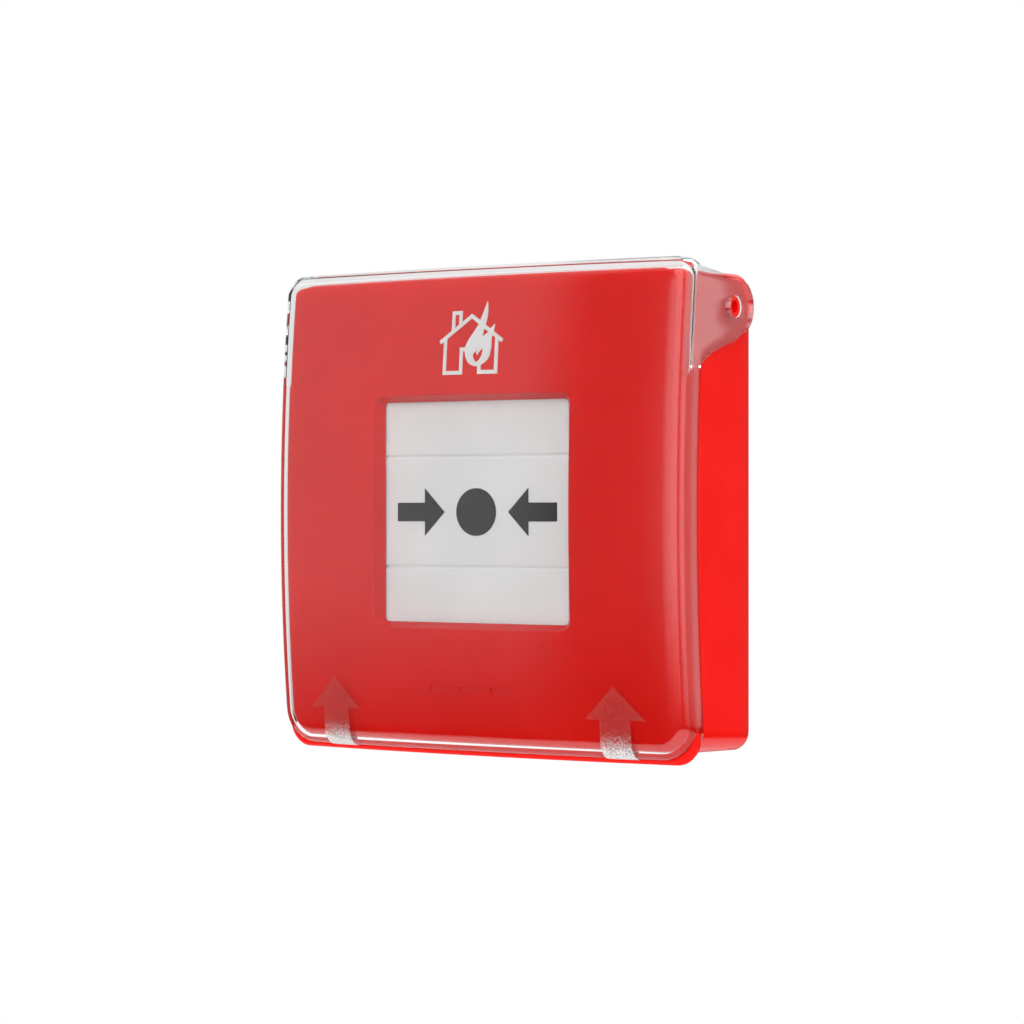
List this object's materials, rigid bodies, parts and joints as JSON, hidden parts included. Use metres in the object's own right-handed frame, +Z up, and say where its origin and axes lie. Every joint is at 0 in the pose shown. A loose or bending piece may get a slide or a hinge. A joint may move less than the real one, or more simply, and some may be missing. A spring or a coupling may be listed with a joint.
{
  "type": "manual call point",
  "caption": "Square red wall-mounted fire alarm call point with a white press panel under a hinged clear cover, on a separate mounting plate.",
  "frame": {"origin": "centre of the back (wall) face of the mounting plate", "axes": "+Z up, +Y into the wall, the front face looks along -Y, +X to the viewer's right"},
  "size_m": [0.108, 0.035, 0.1075],
  "materials": {
    "red_plastic": "satin moulded plastic, very fine grain",
    "white_plastic": "matt moulded plastic",
    "ivory_plastic": "matt moulded plastic",
    "black_plastic": "matt moulded plastic",
    "grey_plastic": "matt moulded plastic",
    "clear_plastic": "clear polished plastic",
    "white_print": "white ink",
    "dark_print": "dark grey ink",
    "frosted_print": "frosted print",
    "yellow_film": "yellow film",
    "steel": "plain steel",
    "rubber": "soft matt rubber",
    "circuit_board": "green solder mask",
    "battery_sleeve": "printed sleeve"
  },
  "bodies": {
    "wall_plate": {"mounting_plate": "white_plastic"},
    "case": {"front_shell": "red_plastic", "house_symbol": "white_print", "back_cover": "red_plastic", "shell_gasket": "rubber", "case_screws": "steel", "circuit_board": "circuit_board", "board_screws": "steel", "battery_holder": "black_plastic", "battery_left": "battery_sleeve", "battery_right": "battery_sleeve", "battery_contacts": "steel", "antenna": "steel", "radio_shield": "steel", "control_chip": "black_plastic", "press_switch": "black_plastic", "tamper_switch": "black_plastic", "power_switch": "black_plastic", "status_led": "white_plastic", "reset_guide": "grey_plastic", "return_springs": "steel", "reset_spring": "steel"},
    "carrier": {"carrier_frame": "ivory_plastic", "alarm_strip": "yellow_film"},
    "panel": {"push_panel": "white_plastic", "panel_symbols": "dark_print"},
    "switch_plunger": {"switch_plunger": "ivory_plastic"},
    "reset_slider": {"reset_slider": "ivory_plastic"},
    "tamper_plunger": {"tamper_plunger": "ivory_plastic"},
    "power_button": {"power_button": "grey_plastic"},
    "cover": {"cover": "clear_plastic", "cover_arrows": "frosted_print"}
  },
  "joints": [
    {"name": "case_lift", "type": "slide", "parent": "wall_plate", "child": "case", "axis": [0, 0, 1], "range_m": [0, 0.006]},
    {"name": "cover_hinge", "type": "hinge", "parent": "case", "child": "cover", "pos_m": [0, -0.0095, 0.044], "axis": [-1, 0, 0], "range_deg": [0, 85]},
    {"name": "panel_press", "type": "slide", "parent": "case", "child": "carrier", "axis": [0, 1, 0], "range_m": [0, 0.0015], "stiffness_N_per_m": 2000, "deforming": ["return_springs"]},
    {"name": "panel_drop", "type": "slide", "parent": "carrier", "child": "panel", "axis": [0, 0, -1], "range_m": [0, 0.0032]},
    {"name": "switch_press", "type": "slide", "parent": "case", "child": "switch_plunger", "axis": [0, 1, 0], "range_m": [0, 0.0015]},
    {"name": "reset_lift", "type": "slide", "parent": "case", "child": "reset_slider", "axis": [0, 0, 1], "range_m": [0, 0.003], "stiffness_N_per_m": 400, "deforming": ["reset_spring"]},
    {"name": "tamper_press", "type": "slide", "parent": "case", "child": "tamper_plunger", "axis": [0, -1, 0], "range_m": [0, 0.0008], "stiffness_N_per_m": 600},
    {"name": "power_press", "type": "slide", "parent": "case", "child": "power_button", "axis": [0, -1, 0], "range_m": [0, 0.0006], "stiffness_N_per_m": 800}
  ],
  "couplings": [
    {"joint": "panel_drop", "follows": "panel_press", "ratio": 2.1333},
    {"joint": "switch_press", "follows": "panel_press", "ratio": 1}
  ]
}
